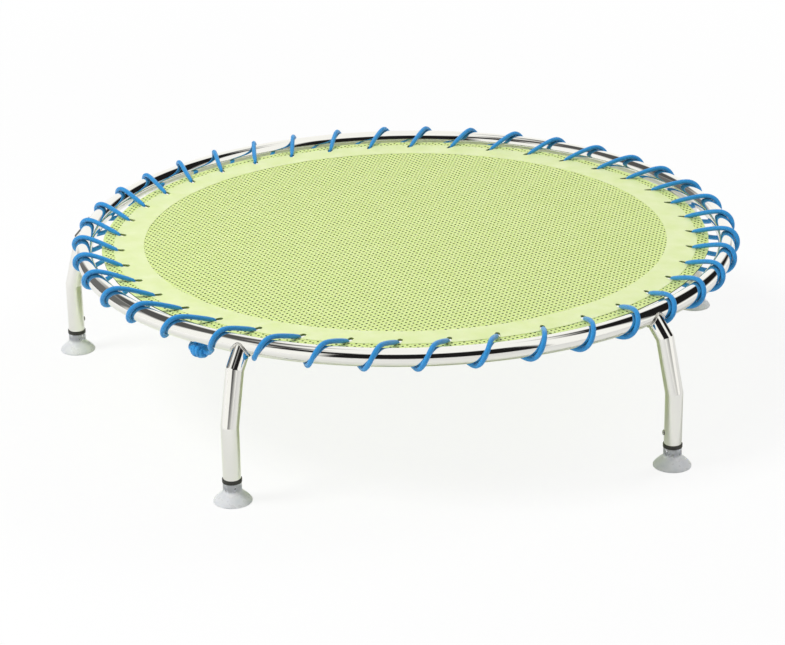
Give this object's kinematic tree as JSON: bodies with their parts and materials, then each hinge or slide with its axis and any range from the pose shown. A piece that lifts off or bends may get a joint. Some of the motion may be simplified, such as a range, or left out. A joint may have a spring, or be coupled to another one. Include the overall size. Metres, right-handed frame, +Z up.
{
  "type": "aqua trampoline",
  "caption": "Round underwater trampoline: polished steel ring on five mitred legs with suction cups, and a perforated mat laced in with one elastic cord.",
  "frame": {"origin": "the middle of the mat's upper face, on the ring's own axis; the pool floor is 215.6 mm below", "axes": "+Z up along the ring's axis; leg 1 stands at -Y and the legs count anticlockwise seen from above"},
  "size_m": [1.0524, 1.054, 0.2352],
  "materials": {
    "polished_steel": "electropolished stainless steel",
    "screw_steel": "plain stainless steel",
    "black_plastic": "moulded, matt",
    "clear_rubber": "moulded, cloudy and translucent",
    "mat_mesh": "coated open mesh",
    "mat_band": "smooth coated tape, welded on",
    "blue_cord": "solid elastic cord"
  },
  "bodies": {
    "frame": {"ring_tube": "polished_steel", "leg_1": "polished_steel", "leg_2": "polished_steel", "leg_3": "polished_steel", "leg_4": "polished_steel", "leg_5": "polished_steel", "leg_plug_1": "black_plastic", "leg_plug_2": "black_plastic", "leg_plug_3": "black_plastic", "leg_plug_4": "black_plastic", "leg_plug_5": "black_plastic", "plug_screw_1": "screw_steel", "plug_screw_2": "screw_steel", "plug_screw_3": "screw_steel", "plug_screw_4": "screw_steel", "plug_screw_5": "screw_steel", "lace_cord": "blue_cord", "lace_knot": "blue_cord"},
    "mat": {"mat_mesh": "mat_mesh", "mat_band": "mat_band"},
    "cup_1": {"suction_cup_1": "clear_rubber", "cup_stud_1": "screw_steel"},
    "cup_2": {"suction_cup_2": "clear_rubber", "cup_stud_2": "screw_steel"},
    "cup_3": {"suction_cup_3": "clear_rubber", "cup_stud_3": "screw_steel"},
    "cup_4": {"suction_cup_4": "clear_rubber", "cup_stud_4": "screw_steel"},
    "cup_5": {"suction_cup_5": "clear_rubber", "cup_stud_5": "screw_steel"}
  },
  "joints": [
    {"name": "mat_bounce", "type": "slide", "parent": "frame", "child": "mat", "axis": [0, 0, 1], "range_m": [-0.08, 0.01], "stiffness_N_per_m": 7000, "deforming": ["lace_cord"]},
    {"name": "cup_1_turn", "type": "hinge", "parent": "frame", "child": "cup_1", "pos_m": [0, -0.525, -0.2156], "axis": [0, 0, 1], "continuous": true},
    {"name": "cup_2_turn", "type": "hinge", "parent": "frame", "child": "cup_2", "pos_m": [0.4993, -0.16223, -0.2156], "axis": [0, 0, 1], "continuous": true},
    {"name": "cup_3_turn", "type": "hinge", "parent": "frame", "child": "cup_3", "pos_m": [0.30859, 0.42473, -0.2156], "axis": [0, 0, 1], "continuous": true},
    {"name": "cup_4_turn", "type": "hinge", "parent": "frame", "child": "cup_4", "pos_m": [-0.30859, 0.42473, -0.2156], "axis": [0, 0, 1], "continuous": true},
    {"name": "cup_5_turn", "type": "hinge", "parent": "frame", "child": "cup_5", "pos_m": [-0.4993, -0.16223, -0.2156], "axis": [0, 0, 1], "continuous": true}
  ]
}
